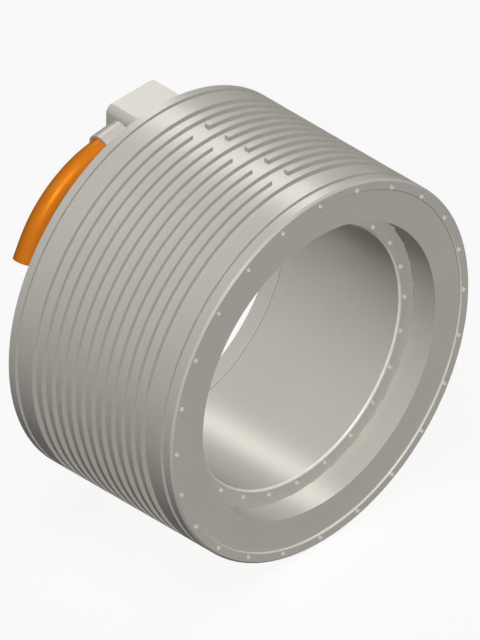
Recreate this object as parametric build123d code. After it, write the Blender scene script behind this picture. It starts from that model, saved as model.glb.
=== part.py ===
from build123d import *
import os
from math import cos, pi, radians, sin, sqrt, tan

# A frameless torque motor: a water-cooled stator ring and its rotor ring, for building into a machine.
# Millimetres. The motor axis is Y. The stator's front rim lies at y = 0 and faces -Y, and Z is up.
# Angles round the axis are seen from the front: 0 is +X, 90 is the top, where the cable leaves.

# Jacket, the stator's outer ring
stator_diameter = 385.0
stator_length = 210.0
jacket_wall = 11.25
front_chamfer = 2.0
bore_chamfer = 1.0

# Cooling channels round the jacket, and the passages that join each one to the next
channel_count = 12
channel_width = 7.4
channel_depth = 5.0
front_channel_setback = 31.8
rear_channel_setback = 30.3
passage_width = 21.0

# Grooves for the machine housing's sealing rings, set in from the front and rear rims
seal_groove_width = 4.0
seal_groove_depth = 3.3
front_seal_setback = 10.3
rear_seal_setback = 8.1

# Fixing threads, drawn at their core diameter and set in from the jacket's outside and the rotor's bore.
# The rear ones are smaller and end before the seal groove, and leave out the place under the cable.
thread_diameter = 5.0
thread_depth = 12.0
front_thread_inset = 7.5
front_thread_count = 24
rotor_thread_inset = 6.0
rotor_thread_count = 24
rear_thread_diameter = 4.2
rear_thread_depth = 7.5
rear_thread_inset = 6.5
rear_place_count = 8

# Laminated core and its slots
core_setback = 30.0
core_back = 7.2
shrink_gap = 0.05
slot_count = 36
slot_width = 13.0
slot_depth = 24.0
wedge_thickness = 2.2
wedge_setback = 1.0

# Coils, one round every second tooth, each wound on a thin former
winding_gap = 1.0
former_wall = 0.8
coil_side_clearance = 0.3
coil_inner_setback = 4.0
coil_outer_setback = 2.0
coil_head_length = 12.0
coil_corner_chamfer = 4.0

# Covers over the coil ends, set in from the jacket's rims
cover_recess = 1.8
cover_plate_thickness = 3.0
cover_wall_thickness = 2.0
cover_bore_relief = 0.3

# Wiring behind the rear coil ends
board_thickness = 2.4
board_inner_setback = 5.0
board_outer_setback = 4.25
lead_width = 4.0
lead_thickness = 1.2
lead_pitch = 8.0
first_lead_setback = 16.9
window_clearance = 2.0
earth_core_clearance = 1.0
sensor_width = 5.0
sensor_thickness = 1.6
sensor_length = 9.0
sensor_count = 3

# Rotor ring, as long as the core, with its magnets and their bandage
air_gap = 0.7
rotor_wall = 16.8
rotor_bore_chamfer = 1.8
pole_count = 30
magnet_seat_depth = 4.9
magnet_spacing = 3.35
magnet_collar = 3.0
magnet_end_margin = 1.0
bandage_thickness = 0.5

# Cable outlet on the rear rim, at the top
outlet_left_reach = 31.4
outlet_right_reach = 29.3
outlet_top_inset = 3.2
outlet_height = 38.8
outlet_length = 35.5
outlet_corner_radius = 8.0
outlet_wall = 4.0
outlet_end_wall = 3.0

# Screws that hold the outlet, set in from its sides and top
screw_side_inset = 9.5
screw_top_inset = 4.9
screw_land = 2.5
screw_diameter = 4.0
screw_engagement = 10.0
screw_thread_clearance = 0.05
screw_hole_clearance = 0.2
screw_head_diameter = 7.0
screw_head_height = 4.0
screw_head_clearance = 0.3
screw_socket_width = 3.0
screw_socket_depth = 2.0
counterbore_depth = 5.5

# Strain relief sleeve, placed below the outlet's top and behind the rear rim, and the cable in it
sleeve_drop = 23.0
sleeve_setback = 17.75
sleeve_diameter = 28.0
sleeve_reach = 25.6
sleeve_seat = 6.0
sleeve_bore_diameter = 16.0
socket_depth = 12.0
cable_diameter = 21.0
core_diameter = 5.4
core_spacing = 6.2
# The cable's route, as steps along X and Z from where its sheath starts in the sleeve
cable_steps = [
    (0.0, 0.0),
    (-25.5, -3.1),
    (-47.9, -10.6),
    (-68.3, -22.3),
    (-86.0, -37.9),
    (-100.3, -56.7),
    (-110.5, -78.0),
]

# Gap between pieces that are pressed, glued or slid together, and how far a cutting shape runs past its cut
fit_gap = 0.1
overrun = 1.0

# Stator sizes that follow, from the outside in
stator_radius = stator_diameter / 2
jacket_bore_radius = stator_radius - jacket_wall
channel_floor_radius = stator_radius - channel_depth
channel_span = stator_length - front_channel_setback - rear_channel_setback
channel_pitch = (channel_span - channel_width) / (channel_count - 1)
front_thread_radius = stator_radius - front_thread_inset
rear_thread_radius = stator_radius - rear_thread_inset
core_radius = jacket_bore_radius - shrink_gap
core_rear = stator_length - core_setback
slot_bottom = core_radius - core_back
core_bore_radius = slot_bottom - slot_depth
slot_pitch = 360 / slot_count
coil_count = slot_count // 2
coil_low = core_bore_radius + coil_inner_setback
coil_high = slot_bottom - coil_outer_setback
coil_side = slot_width / 2 - coil_side_clearance
head_reach = winding_gap + coil_head_length
board_front = core_rear + head_reach
board_rear = board_front + board_thickness
cover_bore_radius = core_bore_radius + cover_bore_relief
cover_seat_radius = jacket_bore_radius - fit_gap
rear_cover_face = stator_length - cover_recess

# Rotor sizes that follow, from the air gap in
rotor_radius = core_bore_radius - air_gap
rotor_bore_radius = rotor_radius - rotor_wall
rotor_thread_radius = rotor_bore_radius + rotor_thread_inset
bandage_radius = rotor_radius - fit_gap
magnet_corner_radius = bandage_radius - bandage_thickness - fit_gap
magnet_seat = rotor_radius - magnet_seat_depth
magnet_width = 2 * magnet_seat * tan(pi / pole_count) - magnet_spacing
magnet_top = sqrt(magnet_corner_radius**2 - magnet_width**2 / 4)
magnet_front = core_setback + magnet_collar
magnet_rear = core_rear - magnet_end_margin

# Places on the outlet
outlet_left = -outlet_left_reach
outlet_right = outlet_right_reach
outlet_top = stator_radius - outlet_top_inset
outlet_bottom = outlet_top - outlet_height
outlet_rear = stator_length + outlet_length
screw_places = (outlet_left + screw_side_inset, outlet_right - screw_side_inset)
screw_height = outlet_top - screw_top_inset
screw_seat = outlet_rear - counterbore_depth
screw_end = stator_length - screw_engagement
cavity_top = screw_height - screw_diameter / 2 - screw_hole_clearance - screw_land
cavity_bottom = outlet_bottom + outlet_wall
cavity_rear = outlet_rear - outlet_end_wall
sleeve_y = stator_length + sleeve_setback
sleeve_height = outlet_top - sleeve_drop

# The sleeve points along the cable's first run, and its frame looks inward from the outlet's left side
outward = Vector(cable_steps[1][0], 0, cable_steps[1][1]).normalized()
inward = outward * -1
sleeve_root = Vector(outlet_left, sleeve_y, sleeve_height)
sleeve_frame = Plane(origin=sleeve_root, x_dir=(0, 1, 0), z_dir=inward)
sheath_start = socket_depth - sleeve_reach
from_base = (Align.CENTER, Align.CENTER, Align.MIN)


def section(radius_a, radius_b, y_a, y_b):
    """A rectangle in the half plane beside the axis, from one radius and place along the axis to another."""
    centre = Pos((radius_a + radius_b) / 2, (y_a + y_b) / 2)
    return centre * Rectangle(abs(radius_b - radius_a), abs(y_b - y_a))


def ring(inner, outer, y_a, y_b):
    return revolve(section(inner, outer, y_a, y_b), Axis.Y)


def turned(shape, angle):
    """The shape turned about the motor axis, anticlockwise as seen from the front."""
    return Rot(0, -angle, 0) * shape


def block(x_a, x_b, y_a, y_b, z_a, z_b):
    return Pos(x_a, y_a, z_a) * Box(x_b - x_a, y_b - y_a, z_b - z_a, align=(Align.MIN,) * 3)


def rod(diameter, x, z, y_a, y_b):
    """A round bar along the motor axis."""
    return Pos(x, (y_a + y_b) / 2, z) * Rot(90, 0, 0) * Cylinder(diameter / 2, abs(y_b - y_a))


def thread_bores(diameter, radius, y_a, y_b, places, first_place=0.0, left_out=None):
    """Bores at even places round the axis, the first of them that many places above +X."""
    at_right = rod(diameter, radius, 0, y_a, y_b)
    return [turned(at_right, 360 * (i + first_place) / places) for i in range(places) if i != left_out]


def jacket_profile():
    """Half section of the jacket: a plain tube with its channels and seal grooves cut in from outside."""
    profile = section(jacket_bore_radius, stator_radius, 0, stator_length)
    for size, place in ((front_chamfer, -1), (bore_chamfer, 0)):
        front_corners = profile.vertices().sort_by(Axis.Y)[:2].sort_by(Axis.X)
        profile = chamfer(front_corners[place], size)
    for i in range(channel_count):
        start = front_channel_setback + i * channel_pitch
        profile -= section(channel_floor_radius, stator_radius, start, start + channel_width)
    groove_floor = stator_radius - seal_groove_depth
    for start in (front_seal_setback, stator_length - rear_seal_setback - seal_groove_width):
        profile -= section(groove_floor, stator_radius, start, start + seal_groove_width)
    return profile


def passages():
    """Gaps in the ribs, by turns at the bottom and the top, which make one winding path of the channels."""
    cuts = []
    for i in range(channel_count - 1):
        rib_start = front_channel_setback + i * channel_pitch + channel_width
        rib_end = front_channel_setback + (i + 1) * channel_pitch
        over_rib = ring(channel_floor_radius, stator_radius + overrun, rib_start, rib_end)
        half = passage_width / 2
        gap = over_rib & block(-half, half, rib_start, rib_end, 0, stator_radius + overrun)
        cuts.append(gap if i % 2 else turned(gap, 180))
    return cuts


def cooling_jacket():
    jacket = revolve(jacket_profile(), Axis.Y)
    jacket -= passages()
    jacket -= thread_bores(thread_diameter, front_thread_radius, -overrun, thread_depth, front_thread_count)
    rear = stator_length + overrun
    jacket -= thread_bores(
        rear_thread_diameter,
        rear_thread_radius,
        stator_length - rear_thread_depth,
        rear,
        rear_place_count,
        first_place=0.5,
        left_out=rear_place_count // 4,
    )
    return jacket - rods_at_screws(screw_diameter + 2 * screw_thread_clearance, screw_end, rear)


def rods_at_screws(diameter, y_a, y_b):
    return [rod(diameter, x, screw_height, y_a, y_b) for x in screw_places]


def stator_core():
    """Stack of laminations with open slots, so that wound coils slip over the teeth."""
    core = ring(core_bore_radius, core_radius, core_setback, core_rear)
    half = slot_width / 2
    slot_low = core_bore_radius - slot_depth
    slot = block(-half, half, core_setback - overrun, core_rear + overrun, slot_low, slot_bottom)
    return core - [turned(slot, (i + 0.5) * slot_pitch) for i in range(slot_count)]


def slot_wedges():
    half = slot_width / 2 - fit_gap
    low = core_bore_radius + wedge_setback
    wedge = block(-half, half, core_setback, core_rear, low, low + wedge_thickness)
    return [turned(wedge, (i + 0.5) * slot_pitch) for i in range(slot_count)]


def tooth_block(offset, end_margin, low, high):
    """A block over the tooth at the top. Its flanks lie parallel to the slots beside it, at an offset from
    their middle lines, and it runs past the core's ends by the margin."""
    half_pitch = radians(slot_pitch / 2)
    low_half, high_half = ((z * sin(half_pitch) + offset) / cos(half_pitch) for z in (low, high))
    corners = [(-low_half, low), (low_half, low), (high_half, high), (-high_half, high)]
    outline = make_face(Polyline(*corners, close=True))
    front_end = Plane.XZ.offset(end_margin - core_setback)
    return extrude(front_end * outline, core_setback - core_rear - 2 * end_margin)


def coil_and_former():
    """The coil round the tooth at the top, and the former between it and the tooth."""
    tooth_side = -slot_width / 2
    inside = tooth_block(tooth_side + winding_gap, winding_gap, coil_low - overrun, coil_high + overrun)
    coil = tooth_block(coil_side, head_reach, coil_low, coil_high)
    corners = coil.edges().filter_by(Axis.X, reverse=True).filter_by(Axis.Y, reverse=True)
    coil = chamfer(corners, coil_corner_chamfer) - inside
    former_inside = tooth_block(tooth_side + fit_gap, fit_gap, coil_low - overrun, coil_high + overrun)
    outer_offset = fit_gap + former_wall
    former = tooth_block(tooth_side + outer_offset, outer_offset, coil_low, coil_high) - former_inside
    return coil, former


def round_teeth(shape):
    """Copies of a shape over every second tooth, from the one at the top."""
    return [turned(shape, 2 * i * slot_pitch) for i in range(coil_count)]


def winding_cover(end_face, core_face):
    """Ring over the coil ends: a plate across them, and a wall round the bore that reaches the core."""
    plate_back = end_face + (cover_plate_thickness if core_face > end_face else -cover_plate_thickness)
    profile = section(cover_bore_radius, cover_seat_radius, end_face, plate_back)
    profile += section(cover_bore_radius, cover_bore_radius + cover_wall_thickness, plate_back, core_face)
    return revolve(profile, Axis.Y)


def lead_window():
    """The way for the phase leads from the stator into the outlet."""
    places = [lead_place(i) for i in range(3)]
    reach = window_clearance + lead_width / 2
    left = places[0][0] - reach
    right = places[-1][0] + reach
    low = min(height for _, _, height in places) - window_clearance
    high = max(height for _, _, height in places) + window_clearance
    return block(left, right, board_rear, stator_length + overrun, low, high)


def core_offset(i):
    """Place of a core in the cable, seen along the sleeve: how far to the rear, and how far up. The first
    three go to the phase leads, and the last is the earth."""
    half = core_spacing / 2
    return ((-half, -half), (-half, half), (half, half), (half, -half))[i]


def lead_place(i):
    """Place of a phase lead from left to right, where it ends against its core, and its height."""
    rearward, up = core_offset(i)
    from_left = first_lead_setback + i * lead_pitch
    height = sleeve_height + from_left * inward.Z / inward.X + up / inward.X
    return outlet_left + from_left, sleeve_y + rearward - core_diameter / 2, height


def phase_lead(i):
    x, end, height = lead_place(i)
    half_width = lead_width / 2
    half_thickness = lead_thickness / 2
    low, high = height - half_thickness, height + half_thickness
    return block(x - half_width, x + half_width, board_rear, end, low, high)


def cable_cores():
    """The cores leave the sheath inside the sleeve: one for each lead, and the earth across the outlet."""
    ends = [lead_place(i)[0] + lead_width / 2 for i in range(3)]
    ends.append(outlet_right - outlet_wall - earth_core_clearance)
    wires = []
    for i, x_end in enumerate(ends):
        rearward, up = core_offset(i)
        length = (x_end - outlet_left) / inward.X - sheath_start
        wire = Cylinder(core_diameter / 2, length, align=from_base)
        wires.append(sleeve_frame * Pos(rearward, up, sheath_start) * wire)
    return wires


def temperature_sensors():
    """Flat probes glued to the sides of three coil ends, one of each phase."""
    middle = (coil_low + coil_high) / 2
    low, high = middle - sensor_width / 2, middle + sensor_width / 2
    side = coil_side + fit_gap
    probe = block(side, side + sensor_thickness, board_front - sensor_length, board_front, low, high)
    coils_apart = coil_count // sensor_count + 1
    return [turned(probe, (2 * i * coils_apart - 0.5) * slot_pitch) for i in range(sensor_count)]


def outlet_housing():
    housing = block(outlet_left, outlet_right, stator_length, outlet_rear, outlet_bottom, outlet_top)
    top_left = housing.edges().filter_by(Axis.Y).sort_by(Axis.X)[:2].sort_by(Axis.Z)[-1]
    housing = fillet(top_left, outlet_corner_radius)
    left, right = outlet_left + outlet_wall, outlet_right - outlet_wall
    housing -= block(left, right, stator_length - overrun, cavity_rear, cavity_bottom, cavity_top)
    sleeve_hole = Cylinder(sleeve_diameter / 2 + fit_gap, sleeve_reach + sleeve_seat, align=from_base)
    housing -= sleeve_frame * Pos(0, 0, -sleeve_reach) * sleeve_hole
    housing -= rods_at_screws(screw_diameter + 2 * screw_hole_clearance, screw_end, outlet_rear)
    counterbore_diameter = screw_head_diameter + 2 * screw_head_clearance
    return housing - rods_at_screws(counterbore_diameter, screw_seat, outlet_rear + overrun)


def outlet_gasket():
    """Flat seal that fills the recess between the rear cover and the outlet."""
    pad = block(outlet_left, outlet_right, rear_cover_face, stator_length, outlet_bottom, outlet_top)
    pad &= ring(cover_bore_radius, cover_seat_radius, rear_cover_face, stator_length)
    return pad - lead_window()


def outlet_screws():
    """Socket head screws."""
    screw_top = screw_seat + screw_head_height
    hexagon = RegularPolygon(screw_socket_width / 2, 6, major_radius=False)
    screws = []
    for x in screw_places:
        shank = rod(screw_diameter, x, screw_height, screw_end, screw_seat)
        head = rod(screw_head_diameter, x, screw_height, screw_seat, screw_top)
        socket_face = Plane.XZ.offset(-screw_top) * Pos(x, screw_height)
        screws.append(shank + head - extrude(socket_face * hexagon, screw_socket_depth))
    return screws


def strain_relief_sleeve():
    """Tube with a socket for the cable's sheath at its outer end and a narrower bore for its cores."""
    length = sleeve_reach + sleeve_seat
    sleeve = Cylinder(sleeve_diameter / 2, length, align=from_base)
    sleeve -= Cylinder(cable_diameter / 2 + fit_gap, socket_depth, align=from_base)
    sleeve -= Cylinder(sleeve_bore_diameter / 2, length, align=from_base)
    return sleeve_frame * Pos(0, 0, -sleeve_reach) * sleeve


def power_cable():
    """The cable: straight runs joined by arcs, which nearly use up the runs."""
    start = sleeve_root + inward * sheath_start
    points = [start + Vector(x, 0, z) for x, z in cable_steps]
    arc_share = 0.45
    runs = [b - a for a, b in zip(points, points[1:])]
    radii = []
    for before, after in zip(runs, runs[1:]):
        half_turn = radians(before.get_angle(after)) / 2
        radii.append(arc_share * min(before.length, after.length) / tan(half_turn))
    route = FilletPolyline(*points, radius=radii)
    circle = Plane(origin=start, z_dir=outward) * Circle(cable_diameter / 2)
    cable = sweep(circle, path=route)
    by_length = pi * cable_diameter**2 / 4 * route.length
    print("cable bend radii", [round(radius, 1) for radius in radii], "length", round(route.length, 1))
    print("cable volume", round(cable.volume), "against section times length", round(by_length))
    return cable


def rotor_ring():
    """Steel ring: a collar at the front, and behind it one flat for each magnet."""
    collar_back = Plane.XZ.offset(-magnet_front)
    flats = RegularPolygon(magnet_seat, pole_count, major_radius=False, rotation=90 - 180 / pole_count)
    body = extrude(collar_back * flats, magnet_front - core_rear)
    body += rod(2 * rotor_radius, 0, 0, core_setback, magnet_front)
    body -= rod(2 * rotor_bore_radius, 0, 0, core_setback - overrun, core_rear + overrun)
    circles = body.edges().filter_by(GeomType.CIRCLE)
    bore_ends = circles.filter_by(lambda edge: edge.radius < magnet_seat)
    body = chamfer(bore_ends, rotor_bore_chamfer)
    start = core_setback - overrun
    end = core_setback + thread_depth
    return body - thread_bores(thread_diameter, rotor_thread_radius, start, end, rotor_thread_count)


def magnets(first_pole):
    """Every second magnet, from the one given: the poles face out north and south by turns."""
    half = magnet_width / 2
    bar = block(-half, half, magnet_front, magnet_rear, magnet_seat, magnet_top)
    return [turned(bar, i * 360 / pole_count) for i in range(first_pole, pole_count, 2)]


def magnet_bandage():
    return ring(bandage_radius - bandage_thickness, bandage_radius, magnet_front, magnet_rear)


def as_node(shape):
    return Compound(children=list(shape)) if isinstance(shape, list) else shape


coil, former = coil_and_former()
coils = round_teeth(coil)
rear_cover = winding_cover(rear_cover_face, core_rear) - lead_window()
board_radii = (core_bore_radius + board_inner_setback, jacket_bore_radius - board_outer_setback)
nodes = {
    "cooling_jacket": cooling_jacket(),
    "stator_core": stator_core(),
    "coils_phase_u": coils[0::3],
    "coils_phase_v": coils[1::3],
    "coils_phase_w": coils[2::3],
    "coil_formers": round_teeth(former),
    "slot_wedges": slot_wedges(),
    "temperature_sensors": temperature_sensors(),
    "connection_board": ring(*board_radii, board_front, board_rear),
    "front_winding_cover": winding_cover(cover_recess, core_setback),
    "rear_winding_cover": rear_cover,
    "phase_lead_u": phase_lead(0),
    "phase_lead_v": phase_lead(1),
    "phase_lead_w": phase_lead(2),
    "outlet_gasket": outlet_gasket(),
    "outlet_housing": outlet_housing(),
    "outlet_screws": outlet_screws(),
    "strain_relief_sleeve": strain_relief_sleeve(),
    "cable_cores": cable_cores(),
    "power_cable": power_cable(),
    "rotor_ring": rotor_ring(),
    "magnets_north": magnets(0),
    "magnets_south": magnets(1),
    "magnet_bandage": magnet_bandage(),
}
os.makedirs("parts", exist_ok=True)
for name, shape in nodes.items():
    export_step(as_node(shape), f"parts/{name}.step")
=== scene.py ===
from math import cos, pi, radians, sin

import bmesh
import bpy
from mathutils import Matrix, Vector


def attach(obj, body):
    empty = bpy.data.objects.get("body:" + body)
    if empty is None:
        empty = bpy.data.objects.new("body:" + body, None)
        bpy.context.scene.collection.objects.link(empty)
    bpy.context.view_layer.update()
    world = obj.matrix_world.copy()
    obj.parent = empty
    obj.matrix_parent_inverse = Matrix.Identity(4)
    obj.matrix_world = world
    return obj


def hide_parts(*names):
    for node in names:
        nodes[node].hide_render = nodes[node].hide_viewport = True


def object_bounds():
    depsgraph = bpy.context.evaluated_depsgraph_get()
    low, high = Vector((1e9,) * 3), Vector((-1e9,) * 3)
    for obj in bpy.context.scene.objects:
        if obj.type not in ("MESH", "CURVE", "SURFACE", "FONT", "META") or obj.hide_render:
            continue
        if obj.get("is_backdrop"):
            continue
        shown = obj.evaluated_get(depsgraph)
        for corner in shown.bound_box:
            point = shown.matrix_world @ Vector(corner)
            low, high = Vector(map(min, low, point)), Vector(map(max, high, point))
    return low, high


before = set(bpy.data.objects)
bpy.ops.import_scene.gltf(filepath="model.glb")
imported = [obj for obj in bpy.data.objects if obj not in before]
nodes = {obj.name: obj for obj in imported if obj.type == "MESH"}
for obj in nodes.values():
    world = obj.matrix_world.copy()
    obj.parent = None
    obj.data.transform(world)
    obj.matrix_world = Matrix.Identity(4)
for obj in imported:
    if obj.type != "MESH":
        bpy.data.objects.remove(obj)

cad_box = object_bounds()
scene = bpy.context.scene
mm = 0.001

# The view
# An isometric drawing's view, from the left, the front and above. The motor's axis is Y, its front faces -Y
# and Z is up, so the axis runs away to the upper left of the picture.
view_back = Vector((-1, -1, 1)).normalized()
view_right = Vector((1, -1, 0)).normalized()
view_up = view_back.cross(view_right)
view_span, aim_right, aim_up = 583.9, -73.5, 47
view_distance = 3000 * mm
camera = bpy.data.objects.new("camera", bpy.data.cameras.new("camera"))
camera.data.type = "ORTHO"
camera.data.ortho_scale = view_span * mm
camera_place = view_right * aim_right * mm + view_up * aim_up * mm + view_back * view_distance
view_turn = Matrix((view_right, view_up, view_back)).transposed()
camera.matrix_world = Matrix.LocRotScale(camera_place, view_turn, None)
scene.collection.objects.link(camera)
scene.camera = camera

# Power cable
# A 21 mm screened cable with an orange polyurethane sheath, cut off square and bare. It leaves the strain
# relief sleeve and bends down behind the stator under its own stiffness.
cable_diameter = 21 * mm
cable_plane = 227.75
cable_route = [
    (-44.90, cable_plane, 164.66),
    (-70.40, cable_plane, 161.56),
    (-92.80, cable_plane, 154.06),
    (-113.20, cable_plane, 142.36),
    (-130.90, cable_plane, 126.76),
    (-145.20, cable_plane, 107.96),
    (-155.40, cable_plane, 86.66),
]
cable_points = [Vector(point) * mm for point in cable_route]


class Reading:
    """A value or colour that varies over a surface. Sums and products of values add Math nodes."""

    def __init__(self, socket):
        self.socket = socket

    def node(self, kind, settings=None, inputs=None, output=0):
        """A new node in the same material: its settings first, then its inputs, by name or by number."""
        made = self.socket.id_data.nodes.new("ShaderNode" + kind)
        for name, value in (settings or {}).items():
            setattr(made, name, value)
        for name, value in (inputs or {}).items():
            if isinstance(value, Reading):
                value.feeds(made.inputs[name])
            else:
                made.inputs[name].default_value = value
        return Reading(made.outputs[output])

    def feeds(self, socket):
        self.socket.id_data.links.new(self.socket, socket)

    def maths(self, operation, *values):
        return self.node("Math", {"operation": operation}, dict(enumerate(values)))

    def __add__(self, other):
        return self.maths("ADD", self, other)

    def __radd__(self, other):
        return self.maths("ADD", other, self)

    def __sub__(self, other):
        return self.maths("SUBTRACT", self, other)

    def __rsub__(self, other):
        return self.maths("SUBTRACT", other, self)

    def __mul__(self, other):
        return self.maths("MULTIPLY", self, other)

    def __rmul__(self, other):
        return self.maths("MULTIPLY", other, self)

    def __truediv__(self, other):
        return self.maths("DIVIDE", self, other)

    def __pow__(self, other):
        return self.maths("POWER", self, other)

    def __mod__(self, other):
        return self.maths("FLOORED_MODULO", self, other)

    def __gt__(self, other):
        return self.maths("GREATER_THAN", self, other)

    def __lt__(self, other):
        return self.maths("LESS_THAN", self, other)

    def __abs__(self):
        return self.maths("ABSOLUTE", self)

    def least(self, other):
        return self.maths("MINIMUM", self, other)

    def fade(self, low, high):
        """From 0 at low to 1 at high, smoothly."""
        settings = {"interpolation_type": "SMOOTHSTEP"}
        return self.node("MapRange", settings, {"Value": self, "From Min": low, "From Max": high})

    def noise(self, scale, detail=2.0):
        """Soft random grain from 0 to 1, on a place in metres."""
        return self.node("TexNoise", {}, {"Vector": self, "Scale": scale, "Detail": detail})

    def rings(self, scale, detail=2.0):
        """Random lines from 0 to 1, across a single value."""
        inputs = {"W": self * scale, "Scale": 1.0, "Detail": detail}
        return self.node("TexNoise", {"noise_dimensions": "1D"}, inputs)

    def parts(self):
        """The X, Y and Z of a place."""
        split = self.node("SeparateXYZ", {}, {"Vector": self}).socket.node
        return [Reading(socket) for socket in split.outputs]

    def blend(self, first, second):
        """From the first colour where this is 0 to the second where it is 1."""
        # a Mix node's colours are its inputs 6 and 7, and its mixed colour is its output 2
        inputs = {"Factor": self, 6: (*first, 1) if isinstance(first, tuple) else first}
        inputs[7] = (*second, 1) if isinstance(second, tuple) else second
        return self.node("Mix", {"data_type": "RGBA"}, inputs, output=2)

    def relief(self, depth, strength=1.0):
        """A surface raised by up to the depth, in metres, where this is 1."""
        return self.node("Bump", {}, {"Height": self, "Distance": depth, "Strength": strength})


def new_finish(name, **constants):
    """A new material, its surface's sockets, and the place on the piece in metres."""
    material = bpy.data.materials.new(name)
    material.use_nodes = True
    surface = material.node_tree.nodes["Principled BSDF"].inputs
    for socket, value in constants.items():
        surface[socket.replace("_", " ")].default_value = value
    place = Reading(material.node_tree.nodes.new("ShaderNodeTexCoord").outputs["Object"])
    return material, surface, place


# a faint gleam in the surface's own colour, with no white gloss over it
soft_gleam = {"Metallic": 0.14, "Specular_IOR_Level": 0}


def sheath_finish():
    """Extruded polyurethane: matt orange with a fine pebble and a few scuffs."""
    material, surface, place = new_finish("cable_sheath", **soft_gleam)
    pebble = place.noise(1800, 3)
    scuffs = place.noise(60, 4).fade(0.56, 0.72)
    tone = place.noise(35, 3)
    colour = tone.blend((0.54, 0.160, 0.010), (0.60, 0.180, 0.014))
    (scuffs * 0.15).blend(colour, (0.74, 0.27, 0.05)).feeds(surface["Base Color"])
    (0.34 + scuffs * 0.2 + tone * 0.08).feeds(surface["Roughness"])
    pebble.relief(0.04 * mm, 0.5).feeds(surface["Normal"])
    return material


curve = bpy.data.curves.new("cable_sheath", "CURVE")
curve.dimensions = "3D"
curve.bevel_depth = cable_diameter / 2
curve.bevel_resolution = 10
curve.resolution_u = 16
curve.use_fill_caps = True
spline = curve.splines.new("NURBS")
spline.points.add(len(cable_points) - 1)
for control, point in zip(spline.points, cable_points):
    control.co = (*point, 1)
spline.order_u = 3
spline.use_endpoint_u = True
curve.materials.append(sheath_finish())
sheath = bpy.data.objects.new("cable_sheath", curve)
scene.collection.objects.link(sheath)
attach(sheath, "stator")
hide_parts("power_cable")

# Cut end of the cable
# Inside the sheath a braid of tinned copper screens four stranded cores in a black filler. The knife has left
# them a hair longer than the sheath.
core_step, strand_step = 3.1, 1.05
core_places = [(core_step, core_step), (core_step, -core_step)]
core_places += [(-core_step, -core_step), (-core_step, core_step)]
strand_angles = [pi / 3 * i for i in range(6)]
strand_places = [(0, 0)] + [(strand_step * cos(angle), strand_step * sin(angle)) for angle in strand_angles]
# each layer's radius, and how far it stands out of the sheath
braid, filler, insulation, strand = (8.2, 0.2), (7.7, 0.3), (2.7, 0.6), (0.52, 0.75)


def frame_along(direction, root):
    """The place whose Y runs along a direction from a root, with X as near as can be to the motor's axis."""
    along = Vector(direction).normalized()
    axis = Vector((0, 1, 0))
    across = (axis - along * along.dot(axis)).normalized()
    turn = Matrix((across, along, across.cross(along))).transposed().to_4x4()
    return Matrix.Translation(root) @ turn


def new_piece(name, shape, finishes, body, replaced=(), crisp_angle=20):
    """A piece that rides on a body and stands in for CAD nodes. It is smooth but for its crisp edges."""
    mesh = bpy.data.meshes.new(name)
    shape.to_mesh(mesh)
    shape.free()
    mesh.shade_smooth()
    mesh.set_sharp_from_angle(angle=radians(crisp_angle))
    for finish in finishes:
        mesh.materials.append(finish)
    piece = bpy.data.objects.new(name, mesh)
    scene.collection.objects.link(piece)
    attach(piece, body)
    if replaced:
        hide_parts(*replaced)
    return piece


def add_stub(shape, radius, height, x, z, finish_number, sides=24):
    """A short round bar that stands on the cut, with its finish."""
    turn = Matrix.Translation((x * mm, height * mm / 2, z * mm)) @ Matrix.Rotation(pi / 2, 4, "X")
    sizes = {"radius1": radius * mm, "radius2": radius * mm, "depth": height * mm}
    made = bmesh.ops.create_cone(shape, cap_ends=True, segments=sides, matrix=turn, **sizes)
    for face in {face for vert in made["verts"] for face in vert.link_faces}:
        face.material_index = finish_number


def plain_finish(name, colour, other_colour, roughness, grain=400, depth=0.02, **constants):
    """A moulded or drawn surface with a fine grain and a slight change of tone."""
    material, surface, place = new_finish(name, **constants)
    tone = place.noise(grain / 12, 3)
    tone.blend(colour, other_colour).feeds(surface["Base Color"])
    (roughness - 0.05 + tone * 0.1).feeds(surface["Roughness"])
    place.noise(grain, 3).relief(depth * mm, 0.6).feeds(surface["Normal"])
    return material


cut = bmesh.new()
add_stub(cut, *braid, 0, 0, finish_number=0, sides=48)
add_stub(cut, *filler, 0, 0, finish_number=1, sides=48)
for core_x, core_z in core_places:
    add_stub(cut, *insulation, core_x, core_z, finish_number=2)
    for strand_x, strand_z in strand_places:
        add_stub(cut, *strand, core_x + strand_x, core_z + strand_z, finish_number=3, sides=8)
cut_place = frame_along(cable_points[-1] - cable_points[-2], cable_points[-1])
bmesh.ops.transform(cut, matrix=cut_place, verts=cut.verts)
copper = plain_finish("cut_copper", (0.72, 0.33, 0.17), (0.80, 0.42, 0.25), 0.32, 900, Metallic=1.0)
cut_finishes = [
    plain_finish("screen_braid", (0.55, 0.55, 0.53), (0.70, 0.70, 0.68), 0.35, 1500, Metallic=0.9),
    plain_finish("cable_filler", (0.020, 0.020, 0.020), (0.035, 0.035, 0.035), 0.6),
    plain_finish("cut_insulation", (0.045, 0.045, 0.047), (0.065, 0.065, 0.067), 0.45),
    copper,
]
cut_end = new_piece("cable_cut_end", cut, cut_finishes, "stator")

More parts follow.
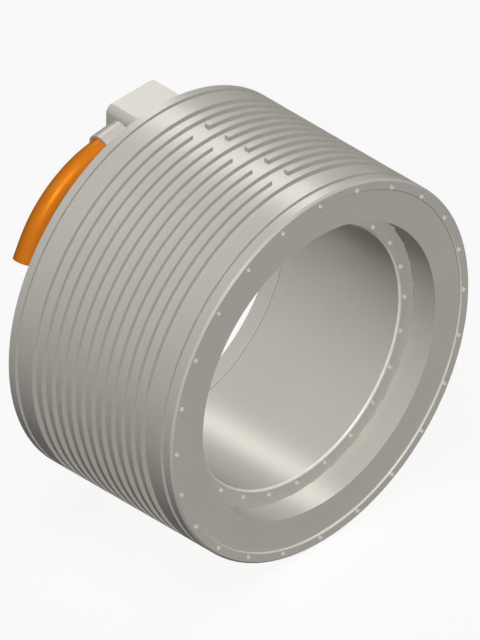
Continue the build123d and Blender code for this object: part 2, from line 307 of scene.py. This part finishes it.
# Cooling jacket
# One turned aluminium ring. Twelve coolant channels and two seal grooves are turned into it, the ribs between
# the channels are milled through by turns at the bottom and the top, and both rims are drilled and tapped.
jacket_radius, jacket_bore, jacket_length = 192.5, 181.25, 210
rim_chamfer, bore_chamfer = 2, 1
channel_count, channel_width, channel_floor = 12, 7.4, 187.5
first_channel = 31.8
belt_end = jacket_length - 30.3
channel_pitch = (belt_end - first_channel - channel_width) / (channel_count - 1)
passage_width = 21
rib_root, rib_flat = channel_floor - 0.3, 0.1
front_groove, rear_groove, groove_width, groove_depth = 10.3, 197.9, 4, 3.3
groove_floor = jacket_radius - groove_depth
front_circle, front_count = 185, 24
rear_circle, rear_count, under_cable = 186, 8, 2
screw_places = [(-21.9, 184.4), (19.8, 184.4)]
# holes' radii and depths, and the crest, root, pitch and turns of their threads
m6_hole, m5_hole, screw_hole = (2.7, 12), (2.3, 7.5), (2.05, 10)
m6_thread, m5_thread = (2.4, 2.75, 1.0, 11), (2.0, 2.35, 0.8, 8)
m6_start, m5_start = 0.4, 0.3


def half_section(points, corner):
    """A flat face in the X Y plane from (radius, along) points in mm, with small flats at its corners."""
    shape = bmesh.new()
    rim = [shape.verts.new((radius * mm, along * mm, 0)) for radius, along in points]
    shape.faces.new(rim)
    if corner:
        sizes = {"offset": corner * mm, "offset_type": "OFFSET", "segments": 1, "profile": 0.5}
        bmesh.ops.bevel(shape, geom=shape.verts[:], affect="VERTICES", material=-1, **sizes)
    return shape


def turned(points, corner=0.1, steps=240):
    """A closed ring turned from its half section."""
    shape = half_section(points, corner)
    bmesh.ops.delete(shape, geom=shape.faces[:], context="FACES_ONLY")
    sizes = {"cent": (0, 0, 0), "axis": (0, 1, 0), "angle": 2 * pi, "steps": steps}
    bmesh.ops.spin(shape, geom=shape.verts[:] + shape.edges[:], use_merge=True, **sizes)
    bmesh.ops.remove_doubles(shape, verts=shape.verts, dist=0.001 * mm)
    bmesh.ops.recalc_face_normals(shape, faces=shape.faces)
    return shape


def add_shape(whole, part):
    """Moves a finished shape into another one."""
    mesh = bpy.data.meshes.new("part")
    part.to_mesh(mesh)
    part.free()
    whole.from_mesh(mesh)
    bpy.data.meshes.remove(mesh)


def copies(shape, places):
    """One shape made of a copy at each place."""
    mesh = bpy.data.meshes.new("copy")
    shape.to_mesh(mesh)
    whole = bmesh.new()
    for place in places:
        start = len(whole.verts)
        whole.from_mesh(mesh)
        bmesh.ops.transform(whole, matrix=place, verts=whole.verts[:][start:])
    bpy.data.meshes.remove(mesh)
    return whole


def cut_away(shape, cutter):
    """The shape with the cutter's space taken out of it."""
    objects = []
    for part in (shape, cutter):
        mesh = bpy.data.meshes.new("cutting")
        part.to_mesh(mesh)
        part.free()
        objects.append(bpy.data.objects.new("cutting", mesh))
        scene.collection.objects.link(objects[-1])
    stock, tool = objects
    boolean = stock.modifiers.new("cut", "BOOLEAN")
    boolean.operation = "DIFFERENCE"
    boolean.solver = "EXACT"
    boolean.object = tool
    depsgraph = bpy.context.evaluated_depsgraph_get()
    result = bmesh.new()
    result.from_object(stock, depsgraph)
    for used in objects:
        bpy.data.objects.remove(used)
    return result


def round_axis(radius, angle, along=0):
    """A place at a radius and an angle above +X, seen from the front, whose Y still runs along the axis."""
    spot = Vector((radius * cos(radians(angle)), along, radius * sin(radians(angle)))) * mm
    return Matrix.Translation(spot)


def drill(radius, depth):
    """A countersunk hole's space from y = 0 towards +Y, with the cone that the drill leaves."""
    mouth, cone, above = 0.3, radius * 0.6, -1
    points = [(0, above), (radius + mouth, above), (radius + mouth, 0), (radius, mouth), (radius, depth)]
    return turned(points + [(0, depth + cone)], corner=0, steps=24)


def thread_ridge(crest, root, pitch, turns):
    """The ridge of a tapped thread, wound up the wall of a hole from y = 0 towards +Y."""
    steps = 14
    half_foot = pitch * 0.42
    crest_start, crest_end = half_foot * 0.85, half_foot * 1.15
    points = [(root, 0), (root, 2 * half_foot), (crest, crest_end), (crest, crest_start)]
    shape = half_section(points, corner=0)
    sizes = {"cent": (0, 0, 0), "axis": (0, -1, 0), "angle": 2 * pi * turns, "steps": steps * turns}
    geometry = shape.verts[:] + shape.edges[:] + shape.faces[:]
    bmesh.ops.spin(shape, geom=geometry, dvec=(0, pitch * mm / steps, 0), **sizes)
    bmesh.ops.recalc_face_normals(shape, faces=shape.faces)
    return shape


def off_axis(place):
    """The distance from the motor's axis, the place along it, and 1 on faces that look along it."""
    x, y, z = place.parts()
    facing = Reading(place.socket.node.outputs["Normal"]).parts()[1]
    return (x * x + z * z) ** 0.5, y, abs(facing) > 0.5


def shade(colour, factor):
    return tuple(min(channel * factor, 1) for channel in colour)


def turned_finish(name, colour, wear_and_highlight=None, brighten_by=1.25, painted_shade=None):
    """Turned metal: fine tool lines round the axis, slight bands of tone, edges brightened by wear and
    painted highlight, painted shade.
    """
    material, surface, place = new_finish(name, **soft_gleam)
    radius, along, on_end = off_axis(place)
    # how far the lathe tool has moved: along the axis on round walls, and across the radius on end faces
    feed = along + (radius - along) * on_end
    lines = feed.rings(2600, 3)
    bands = feed.rings(160, 2)
    stains = place.noise(14, 4)
    tone = (0.3 * bands + 0.7 * stains).blend(shade(colour, 0.95), shade(colour, 1.05))
    # painted shade, where the given mask is 1
    if painted_shade:
        tone = painted_shade(place).blend(tone, shade(colour, 0.83))
    if wear_and_highlight:
        # brighter edges: wear and painted highlight on the ribs, painted highlight on the bore rims
        bright_marks = wear_and_highlight(radius, along) * (0.35 + 0.65 * place.noise(120, 3))
        tone = bright_marks.blend(tone, shade(colour, brighten_by))
    tone.feeds(surface["Base Color"])
    (0.32 + 0.08 * lines + 0.06 * stains).feeds(surface["Roughness"])
    lines.relief(0.012 * mm, 0.35).feeds(surface["Normal"])
    return material


def rib_wear_and_rim_highlight(radius, along):
    """The corners of the ribs, a little brighter from wear and painted highlight, and the front rim's bore,
    much brighter as a painted highlight.
    """
    # how much the rib corners brighten, by wear and painted highlight, and the bore rim, by painted highlight
    rib_wear_and_highlight, rim_highlight = 0.4, 1.8
    margin, skin = 0.8, 0.6
    phase = (along - first_channel * mm) % (channel_pitch * mm)
    to_edge = abs(phase).least(abs(phase - channel_width * mm)).least(channel_pitch * mm - phase)
    belt_middle, belt_half = (first_channel + belt_end) / 2, (belt_end - first_channel) / 2
    in_belt = abs(along - belt_middle * mm) < (belt_half + margin) * mm
    at_top = radius > (jacket_radius - skin) * mm
    at_bore = radius < (jacket_bore + bore_chamfer + 0.1) * mm
    at_front = along < (bore_chamfer + 0.1) * mm
    on_rib = (1 - to_edge.fade(0.1 * mm, 0.5 * mm)) * at_top * in_belt
    return on_rib * rib_wear_and_highlight + at_bore * at_front * rim_highlight


def painted_groove_shade(place):
    """The side walls of the channels and grooves, darkened by painted shade, most at the upper left."""
    floor_skin, end_margin, half_length = 0.2, 5, jacket_length / 2
    x, _, z = place.parts()
    radius, along, on_side = off_axis(place)
    off_rims = abs(along - half_length * mm) < (half_length - end_margin) * mm
    cut_in = (radius > (channel_floor + floor_skin) * mm) * off_rims
    # painted shade: darkest on the upper walls, less towards the right, none at the bottom
    upper_left = (z / radius).fade(-0.3, 0.6) * (1 - 0.6 * (x / radius).fade(0.05, 0.45))
    return on_side * cut_in * upper_left


profile = [(jacket_bore, bore_chamfer), (jacket_bore + bore_chamfer, 0)]
profile += [(jacket_radius - rim_chamfer, 0), (jacket_radius, rim_chamfer)]
for start, end, bottom in (
    (front_groove, front_groove + groove_width, groove_floor),
    (first_channel, belt_end, channel_floor),
    (rear_groove, rear_groove + groove_width, groove_floor),
):
    profile += [(jacket_radius, start), (bottom, start), (bottom, end), (jacket_radius, end)]
profile += [(jacket_radius, jacket_length), (jacket_bore, jacket_length)]
jacket = turned(profile)

front_angles = [360 / front_count * i for i in range(front_count)]
rear_angles = [360 / rear_count * (i + 0.5) for i in range(rear_count) if i != under_cable]
front_threads = [round_axis(front_circle, angle) for angle in front_angles]
rear_turn = Matrix.Rotation(pi, 4, "Z")
rear_threads = [round_axis(rear_circle, angle, jacket_length) @ rear_turn for angle in rear_angles]
screw_spots = [Matrix.Translation(Vector((x, jacket_length, z)) * mm) @ rear_turn for x, z in screw_places]
cutters = copies(drill(*m6_hole), front_threads)
add_shape(cutters, copies(drill(*m5_hole), rear_threads))
add_shape(cutters, copies(drill(*screw_hole), screw_spots))
jacket = cut_away(jacket, cutters)

# the ribs between the channels, each with its passage at the bottom or the top
rib_gap = passage_width / jacket_radius
rib_side = jacket_radius - rib_flat
for i in range(channel_count - 1):
    start = first_channel + channel_width + i * channel_pitch
    end = first_channel + (i + 1) * channel_pitch
    section = [(rib_root, start), (rib_side, start), (jacket_radius, start + rib_flat)]
    section += [(jacket_radius, end - rib_flat), (rib_side, end), (rib_root, end)]
    rib = half_section(section, corner=0)
    # a positive angle about -Y runs from +X towards +Z, so each rib starts past its passage
    middle = pi / 2 if i % 2 else -pi / 2
    turn = Matrix.Rotation(-(middle + rib_gap / 2), 4, "Y")
    bmesh.ops.transform(rib, matrix=turn, verts=rib.verts)
    sizes = {"cent": (0, 0, 0), "axis": (0, -1, 0), "angle": 2 * pi - rib_gap, "steps": 240}
    bmesh.ops.spin(rib, geom=rib.verts[:] + rib.edges[:] + rib.faces[:], **sizes)
    bmesh.ops.recalc_face_normals(rib, faces=rib.faces)
    add_shape(jacket, rib)

bare_metal = (0.50, 0.478, 0.437)
# rib corners brightened by wear and painted highlight, a painted highlight on the bore rim, painted shade on
# the groove walls
jacket_metal = turned_finish("jacket_metal", bare_metal, rib_wear_and_rim_highlight, painted_shade=painted_groove_shade)
new_piece("cooling_jacket_ring", jacket, [jacket_metal], "stator", ["cooling_jacket"])

m6_places = [round_axis(front_circle, angle, m6_start) for angle in front_angles]
m5_places = [place @ Matrix.Translation((0, m5_start * mm, 0)) for place in rear_threads]
ridges = copies(thread_ridge(*m6_thread), m6_places)
add_shape(ridges, copies(thread_ridge(*m5_thread), m5_places))
new_piece("jacket_threads", ridges, [jacket_metal], "stator", crisp_angle=30)

# Laminated core
# Rings of 0.5 mm electrical steel, punched with 36 open slots, stacked and glued. The cut edges show as fine
# lines round the bore and the teeth, with thin dark seams of insulating varnish.
sheet_thickness = 0.5 * mm


def dress(names, finish):
    """Gives CAD nodes their real finish."""
    for name in names:
        for material_slot in nodes[name].material_slots:
            material_slot.material = finish


def lamination_finish():
    material, surface, place = new_finish("core_steel", **soft_gleam)
    along = place.parts()[1]
    sheet = (along % sheet_thickness) / sheet_thickness
    # 1 on a sheet's cut edge, and 0 in the seams between the sheets
    cut_edge = 1 - abs(sheet - 0.5).fade(0.30, 0.48)
    tone = 0.6 * along.rings(2000, 1) + 0.4 * place.noise(40, 3)
    steel = tone.blend((0.46, 0.44, 0.405), (0.53, 0.51, 0.47))
    (1 - cut_edge).blend(steel, (0.34, 0.33, 0.31)).feeds(surface["Base Color"])
    (0.36 + 0.12 * place.noise(300, 2)).feeds(surface["Roughness"])
    cut_edge.relief(0.05 * mm, 0.5).feeds(surface["Normal"])
    return material


dress(["stator_core"], lamination_finish())

# Coils
# Each coil is wound from enamelled copper wire on a former and slipped over every second tooth. Round every
# coil the turns lie side by side in layers, so the wires show as lines from the inner to the outer layer.
wire_thickness = 1.25 * mm
coil_pitch = radians(20)


def winding_finish():
    material, surface, place = new_finish("winding_copper", Metallic=0.55, Coat_Weight=0.6)
    x, _, z = place.parts()
    radius = (x * x + z * z) ** 0.5
    angle = place.maths("ARCTAN2", z, x)
    across = ((angle % coil_pitch) - coil_pitch / 2) * radius
    outward = Reading(place.socket.node.outputs["Normal"])
    inputs = {0: outward, 1: place.node("VectorMath", {"operation": "NORMALIZE"}, {0: place})}
    facing = abs(outward.node("VectorMath", {"operation": "DOT_PRODUCT"}, inputs, output=1))
    layer = radius + (across - radius) * (facing > 0.7)
    wire = abs((layer % wire_thickness) / wire_thickness - 0.5) * 2
    bulge = (1 - wire * wire) ** 0.5
    tone = place.noise(220, 3)
    copper_tone = tone.blend((0.42, 0.13, 0.045), (0.58, 0.21, 0.075))
    # painted shade: the copper darkens towards the crevices between the round wires
    wire.fade(0.72, 1.0).blend(copper_tone, (0.10, 0.03, 0.012)).feeds(surface["Base Color"])
    (0.25 + 0.2 * tone).feeds(surface["Roughness"])
    bulge.relief(0.5 * mm, 0.9).feeds(surface["Normal"])
    return material


dress(["coils_phase_u", "coils_phase_v", "coils_phase_w"], winding_finish())

# Formers, wedges, sensors and the connection board
# Moulded formers keep the wire off the teeth, glass-fibre wedges close the slots, and three flat probes are
# glued to coil ends. A glass-fibre board behind the rear coil ends joins the coils of each phase.
cloth_thread = 0.9 * mm


def glass_fibre_finish(name, colour, other_colour):
    """Resin over a woven glass cloth."""
    material, surface, place = new_finish(name)
    x, _, z = place.parts()
    over = abs((x % cloth_thread) / cloth_thread - 0.5) * 2
    under = abs((z % cloth_thread) / cloth_thread - 0.5) * 2
    weave = (over + under) * 0.5
    (0.6 * weave + 0.4 * place.noise(90, 3)).blend(colour, other_colour).feeds(surface["Base Color"])
    (0.30 + 0.15 * weave).feeds(surface["Roughness"])
    weave.relief(0.05 * mm, 0.5).feeds(surface["Normal"])
    return material


dress(["coil_formers"], plain_finish("former_plastic", (0.66, 0.63, 0.55), (0.74, 0.71, 0.63), 0.5))
dress(["slot_wedges"], glass_fibre_finish("wedge_plastic", (0.48, 0.46, 0.41), (0.57, 0.55, 0.49)))
dress(["temperature_sensors"], plain_finish("sensor_plastic", (0.02, 0.02, 0.022), (0.04, 0.04, 0.042), 0.4))
dress(["connection_board"], glass_fibre_finish("board_laminate", (0.03, 0.16, 0.07), (0.05, 0.22, 0.10)))

# Winding covers
# A turned aluminium ring at each end covers the coil ends, and its inner wall reaches the core. They are
# pressed into the jacket a little below its rims. The rear one has a window for the phase leads.
cover_inner, cover_wall, cover_outer = 150, 152.3, 181.15
front_face, front_plate_back = 1.8, 4.8
rear_face, rear_plate_back = 208.2, 205.2
core_start, core_end = 30, 180
window_corners = (-18.5, 194, 163.2), (5.5, 212, 175.4)


def cover_section(face, plate_back, core_face):
    points = [(cover_inner, face), (cover_outer, face), (cover_outer, plate_back)]
    return points + [(cover_wall, plate_back), (cover_wall, core_face), (cover_inner, core_face)]


def add_box(shape, corner_a, corner_b):
    """A plain block between two corners, in millimetres."""
    low, high = Vector(corner_a) * mm, Vector(corner_b) * mm
    place = Matrix.LocRotScale((low + high) / 2, None, high - low)
    bmesh.ops.create_cube(shape, size=1, matrix=place)


cover_metal = turned_finish("cover_metal", bare_metal)
front_cover = turned(cover_section(front_face, front_plate_back, core_start))
new_piece("front_cover_ring", front_cover, [cover_metal], "stator", ["front_winding_cover"])
rear_cover = turned(cover_section(rear_face, rear_plate_back, core_end))
window = bmesh.new()
add_box(window, *window_corners)
rear_cover = cut_away(rear_cover, window)
new_piece("rear_cover_ring", rear_cover, [cover_metal], "stator", ["rear_winding_cover"])

# Leads, cable cores and gasket
# Flat copper leads rise from the board into the outlet, where the cable's stranded cores are soldered to
# them. The fourth core, green and yellow, is the earth. A rubber gasket seals the outlet to the cover.
core_slope, core_middle = 0.1216, 170.1
stripe_half_width = 1.1


def core_insulation_finish():
    material, surface, place = new_finish("core_insulation")
    x, y, z = place.parts()
    line = z - x * core_slope - core_middle * mm
    earth = (y > cable_plane * mm) * (line < 0)
    stripe = abs(line + core_step * mm) > stripe_half_width * mm
    tone = place.noise(300, 3)
    black = tone.blend((0.018, 0.018, 0.019), (0.035, 0.035, 0.036))
    green_yellow = stripe.blend((0.62, 0.50, 0.02), (0.03, 0.22, 0.05))
    earth.blend(black, green_yellow).feeds(surface["Base Color"])
    (0.38 + 0.1 * tone).feeds(surface["Roughness"])
    return material


dress(["phase_lead_u", "phase_lead_v", "phase_lead_w"], copper)
dress(["cable_cores"], core_insulation_finish())
dress(["outlet_gasket"], plain_finish("gasket_rubber", (0.03, 0.03, 0.03), (0.05, 0.05, 0.05), 0.75, 700))

# Cable outlet
# A milled aluminium box over the leads, with one rounded corner above the sleeve. Two socket head screws in
# deep counterbores hold it to the jacket's rear rim.
outlet_left, outlet_right = -31.4, 29.3
outlet_low, outlet_high = 150.5, 189.3
outlet_front, outlet_rear = 210, 245.5
outlet_wall, outlet_end_wall, cavity_top = 4, 3, 179.7
corner_rounding, edge_easing = 8, 0.2
counterbore_radius, counterbore_depth, clearance_radius = 3.8, 5.5, 2.2
sleeve_hole_radius, sleeve_hole_end = 14.1, -6.2
# how far the cutters start outside the outlet, and how far they reach
cutter_start, cutter_reach = 1, 40
sleeve_height, sleeve_direction = 166.3, (-0.99269, 0, -0.12068)
sleeve_root = Vector((outlet_left, cable_plane, sleeve_height)) * mm
sleeve_place = frame_along(sleeve_direction, sleeve_root)

outlet = bmesh.new()
add_box(outlet, (outlet_left, outlet_front, outlet_low), (outlet_right, outlet_rear, outlet_high))
middle_height = (outlet_low + outlet_high) / 2 * mm
upper_left = {vert for vert in outlet.verts if vert.co.x < 0 and vert.co.z > middle_height}
corner_edge = [edge for edge in outlet.edges if upper_left.issuperset(edge.verts)]
rounding = {"offset": corner_rounding * mm, "segments": 16, "profile": 0.5, "affect": "EDGES", "material": -1}
bmesh.ops.bevel(outlet, geom=corner_edge, **rounding)
crisp = [edge for edge in outlet.edges if edge.calc_face_angle() > radians(30)]
easing = {"offset": edge_easing * mm, "segments": 1, "profile": 0.5, "affect": "EDGES", "material": -1}
bmesh.ops.bevel(outlet, geom=crisp, **easing)
cavity_low = (outlet_left + outlet_wall, outlet_front - cutter_start, outlet_low + outlet_wall)
cavity_high = (outlet_right - outlet_wall, outlet_rear - outlet_end_wall, cavity_top)
space = bmesh.new()
add_box(space, cavity_low, cavity_high)
tool_points = [(0, -cutter_start), (counterbore_radius, -cutter_start)]
tool_points += [(counterbore_radius, counterbore_depth), (clearance_radius, counterbore_depth)]
tool_points += [(clearance_radius, cutter_reach), (0, cutter_reach)]
screw_ways = [Matrix.Translation(Vector((x, outlet_rear, z)) * mm) @ rear_turn for x, z in screw_places]
add_shape(space, copies(turned(tool_points, corner=0, steps=40), screw_ways))
hole_points = [(0, sleeve_hole_end), (sleeve_hole_radius, sleeve_hole_end)]
hole_points += [(sleeve_hole_radius, cutter_reach), (0, cutter_reach)]
add_shape(space, copies(turned(hole_points, corner=0, steps=64), [sleeve_place]))
outlet = cut_away(outlet, space)


def milled_finish(name, colour):
    """Milled and bead-blasted metal: an even, very fine grain."""
    material, surface, place = new_finish(name, **soft_gleam)
    grain = place.noise(2500, 3)
    stains = place.noise(45, 4)
    stains.blend(shade(colour, 0.95), shade(colour, 1.05)).feeds(surface["Base Color"])
    (0.32 + 0.10 * grain + 0.05 * stains).feeds(surface["Roughness"])
    grain.relief(0.01 * mm, 0.4).feeds(surface["Normal"])
    return material


outlet_metal = milled_finish("outlet_metal", bare_metal)
new_piece("outlet_box", outlet, [outlet_metal], "stator", ["outlet_housing"])

# Outlet screws
# M4 socket head screws of blackened steel. They sit in the outlet's counterbores. The head has a hexagon
# socket and an eased top edge.
head_radius, head_height, head_easing = 3.5, 4, 0.3
shank_radius, shank_length, shank_easing = 2, 40, 0.4
key_width, socket_depth = 3, 2
socket_radius = key_width / 2 / cos(pi / 6)
tip_hole = 0.01
screw = bmesh.new()
outline = [(tip_hole, -shank_length), (shank_radius - shank_easing, -shank_length)]
outline += [(shank_radius, shank_easing - shank_length), (shank_radius, 0), (head_radius, 0)]
outline += [(head_radius, head_height - head_easing), (head_radius - head_easing, head_height)]
points = [screw.verts.new((radius * mm, along * mm, 0)) for radius, along in outline]
for pair in zip(points, points[1:]):
    screw.edges.new(pair)
sizes = {"cent": (0, 0, 0), "axis": (0, 1, 0), "angle": 2 * pi, "steps": 36}
bmesh.ops.spin(screw, geom=screw.verts[:] + screw.edges[:], use_merge=True, **sizes)
bmesh.ops.remove_doubles(screw, verts=screw.verts, dist=0.001 * mm)
screw_rim = [edge for edge in screw.edges if edge.is_boundary and edge.verts[0].co.y > 0]
at_top = Matrix.Translation((0, head_height * mm, 0)) @ Matrix.Rotation(-pi / 2, 4, "X")
socket = bmesh.ops.create_circle(screw, segments=6, radius=socket_radius * mm, matrix=at_top)["verts"]
socket_rim = list({edge for vert in socket for edge in vert.link_edges})
bmesh.ops.bridge_loops(screw, edges=screw_rim + socket_rim)
sunk = bmesh.ops.extrude_edge_only(screw, edges=socket_rim)["geom"]
floor_verts = [item for item in sunk if isinstance(item, bmesh.types.BMVert)]
bmesh.ops.translate(screw, vec=(0, -socket_depth * mm, 0), verts=floor_verts)
bmesh.ops.holes_fill(screw, edges=[edge for edge in screw.edges if edge.is_boundary])
bmesh.ops.recalc_face_normals(screw, faces=screw.faces)
seat_height = outlet_rear - counterbore_depth
screw_seats = [Matrix.Translation(Vector((x, seat_height, z)) * mm) for x, z in screw_places]
screw_pair = copies(screw, screw_seats)
black, dark_grey = (0.03, 0.03, 0.032), (0.06, 0.06, 0.062)
screw_steel = plain_finish("screw_steel", black, dark_grey, 0.38, 1800, 0.01, Metallic=0.7)
new_piece("outlet_screw_pair", screw_pair, [screw_steel], "stator", ["outlet_screws"])

# Strain relief sleeve
# A turned steel tube pressed into the outlet's left wall. The cable's sheath sits in its wider outer end, and
# the cores pass on through its bore.
sleeve_bore, sleeve_socket, sleeve_radius = 8, 10.6, 14
sleeve_seat, socket_floor, sleeve_mouth = -6, 13.6, 25.6
sleeve_points = [(sleeve_bore, sleeve_seat), (sleeve_radius, sleeve_seat), (sleeve_radius, sleeve_mouth)]
sleeve_points += [(sleeve_socket, sleeve_mouth), (sleeve_socket, socket_floor), (sleeve_bore, socket_floor)]
sleeve = turned(sleeve_points, corner=0.35, steps=96)
bmesh.ops.transform(sleeve, matrix=sleeve_place, verts=sleeve.verts)
sleeve_metal = milled_finish("sleeve_metal", bare_metal)
new_piece("sleeve_tube", sleeve, [sleeve_metal], "stator", ["strain_relief_sleeve"])

# Rotor ring
# A turned steel carrier, as long as the core. A collar at its front stops the magnets, behind it there is a
# flat for each of the thirty, and the front face is drilled and tapped for the driven shaft.
rotor_bore, rotor_outside, magnet_seat, magnet_start = 132.5, 149.3, 144.4, 33
rotor_chamfer = 1.8
pole_count = 30
rotor_circle, rotor_thread_count = 138.5, 24
rotor = turned(
    [
        (rotor_bore + rotor_chamfer, core_start),
        (rotor_outside, core_start),
        (rotor_outside, magnet_start),
        (magnet_seat, magnet_start),
        (magnet_seat, core_end),
        (rotor_bore + rotor_chamfer, core_end),
        (rotor_bore, core_end - rotor_chamfer),
        (rotor_bore, core_start + rotor_chamfer),
    ]
)
pole_pitch = 2 * pi / pole_count
# round the magnets' seat, with margins for the small flats at its corners
seat_low, seat_high, seat_start = (magnet_seat - 0.5) * mm, (magnet_seat + 1) * mm, (magnet_start - 0.01) * mm
for vert in rotor.verts:
    x, y, z = vert.co
    if seat_low < (x * x + z * z) ** 0.5 < seat_high and y > seat_start:
        # onto the flat under the nearest magnet
        angle = Vector((z, x)).angle_signed(Vector((1, 0)))
        off_middle = (angle + pole_pitch / 2) % pole_pitch - pole_pitch / 2
        vert.co.x /= cos(off_middle)
        vert.co.z /= cos(off_middle)
rotor_angles = [360 / rotor_thread_count * i for i in range(rotor_thread_count)]
rotor_threads = [round_axis(rotor_circle, angle, core_start) for angle in rotor_angles]
rotor = cut_away(rotor, copies(drill(*m6_hole), rotor_threads))


def painted_bore_highlight(radius, along):
    """The bore's front corner, brightened by a painted highlight."""
    near_bore = 1 - (radius - rotor_bore * mm).fade(0.1 * mm, (rotor_chamfer + 0.6) * mm)
    return near_bore * (along < (core_start + rotor_chamfer + 0.4) * mm)


# a painted highlight on the bore's front corner
rotor_steel = turned_finish("rotor_steel", bare_metal, painted_bore_highlight, brighten_by=1.8)
new_piece("rotor_carrier", rotor, [rotor_steel], "rotor", ["rotor_ring"])
ridge_places = [round_axis(rotor_circle, angle, core_start + m6_start) for angle in rotor_angles]
rotor_ridges = copies(thread_ridge(*m6_thread), ridge_places)
new_piece("rotor_threads", rotor_ridges, [rotor_steel], "rotor", crisp_angle=30)

# Magnets and their bandage
# Sintered magnets with a nickel plating are glued to the flats, and a band of glass fibre is wound over them
# under tension.


def bandage_finish():
    material, surface, place = new_finish("bandage_fibre", Coat_Weight=0.4)
    strands = place.parts()[1].rings(3000, 2)
    strands.blend((0.05, 0.05, 0.045), (0.13, 0.12, 0.10)).feeds(surface["Base Color"])
    (0.35 + 0.2 * strands).feeds(surface["Roughness"])
    strands.relief(0.06 * mm, 0.6).feeds(surface["Normal"])
    return material


nickel, bright_nickel = (0.48, 0.46, 0.42), (0.54, 0.52, 0.48)
magnet_plating = plain_finish("magnet_plating", nickel, bright_nickel, 0.45, 500, 0.01, **soft_gleam)
dress(["magnets_north", "magnets_south"], magnet_plating)
dress(["magnet_bandage"], bandage_finish())

# Floor and light
# A plain white floor that the motor stands on. The key light comes from above on the camera's side, a light
# from behind only gleams along the top, and a fill lights the far sides. Like the lights of a drawing they
# reach into the bore, so they cast no shadow, and an overhead light lays the motor's shadow on the floor.
floor_level, floor_radius = -192.6 * mm, 12
floor_shape = bmesh.new()
ground = Matrix.Translation((0, 0, floor_level))
bmesh.ops.create_circle(floor_shape, cap_ends=True, segments=64, radius=floor_radius, matrix=ground)
floor_mesh = bpy.data.meshes.new("floor")
floor_shape.to_mesh(floor_mesh)
floor = bpy.data.objects.new("floor", floor_mesh)
scene.collection.objects.link(floor)
floor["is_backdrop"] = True


def background_rays(tree):
    """1 for rays that show the background: the camera's own, and reflections."""
    path = tree.nodes.new("ShaderNodeLightPath").outputs
    seen = Reading(path["Is Camera Ray"]) + Reading(path["Is Glossy Ray"])
    return (seen + Reading(path["Is Transmission Ray"])).least(1)


floor_finish, surface, place = new_finish("floor", Roughness=0.9)
tree = floor_finish.node_tree
pale = place.noise(3, 2).blend((0.97, 0.97, 0.97), (1.0, 1.0, 1.0))
background_rays(tree).blend((0.05, 0.05, 0.05), pale).feeds(surface["Base Color"])
white = tree.nodes.new("ShaderNodeEmission")
shown = place.node("MixShader", {}, {0: background_rays(tree) * 0.5, 2: Reading(white.outputs[0])})
tree.links.new(tree.nodes["Principled BSDF"].outputs[0], shown.socket.node.inputs[1])
tree.links.new(shown.socket, tree.nodes["Material Output"].inputs["Surface"])
floor_mesh.materials.append(floor_finish)

world = bpy.data.worlds.new("studio")
scene.world = world
world.use_nodes = True
background = world.node_tree.nodes["Background"]
background.inputs["Color"].default_value = (1, 1, 1, 1)
ambient = 0.03
(ambient + background_rays(world.node_tree) * (1 - ambient)).feeds(background.inputs["Strength"])

# each lamp's direction from the motor, its strength, and its softness in degrees
lamps = [
    ("key", (-0.35, -0.53, 0.77), 2.95, 12),
    ("back", (0.52, 0.59, 0.61), 1.05, 16),
    ("fill", (1, 1, -1), 1.4, 20),
    ("overhead", (-0.30, -0.10, 0.95), 0.4, 45),
]
for name, direction, strength, softness in lamps:
    lamp = bpy.data.lights.new(name, "SUN")
    lamp.energy = strength
    lamp.angle = radians(softness)
    lamp.use_shadow = name == "overhead"
    lamp.cycles.use_multiple_importance_sampling = name == "overhead"
    holder = bpy.data.objects.new(name, lamp)
    holder.rotation_euler = Vector(direction).to_track_quat("Z", "Y").to_euler()
    holder.visible_diffuse = name != "back"
    holder.visible_glossy = name != "fill"
    scene.collection.objects.link(holder)
scene.view_settings.view_transform = "Standard"

sizes = {"cad": [list(corner) for corner in cad_box], "visual": [list(corner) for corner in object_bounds()]}
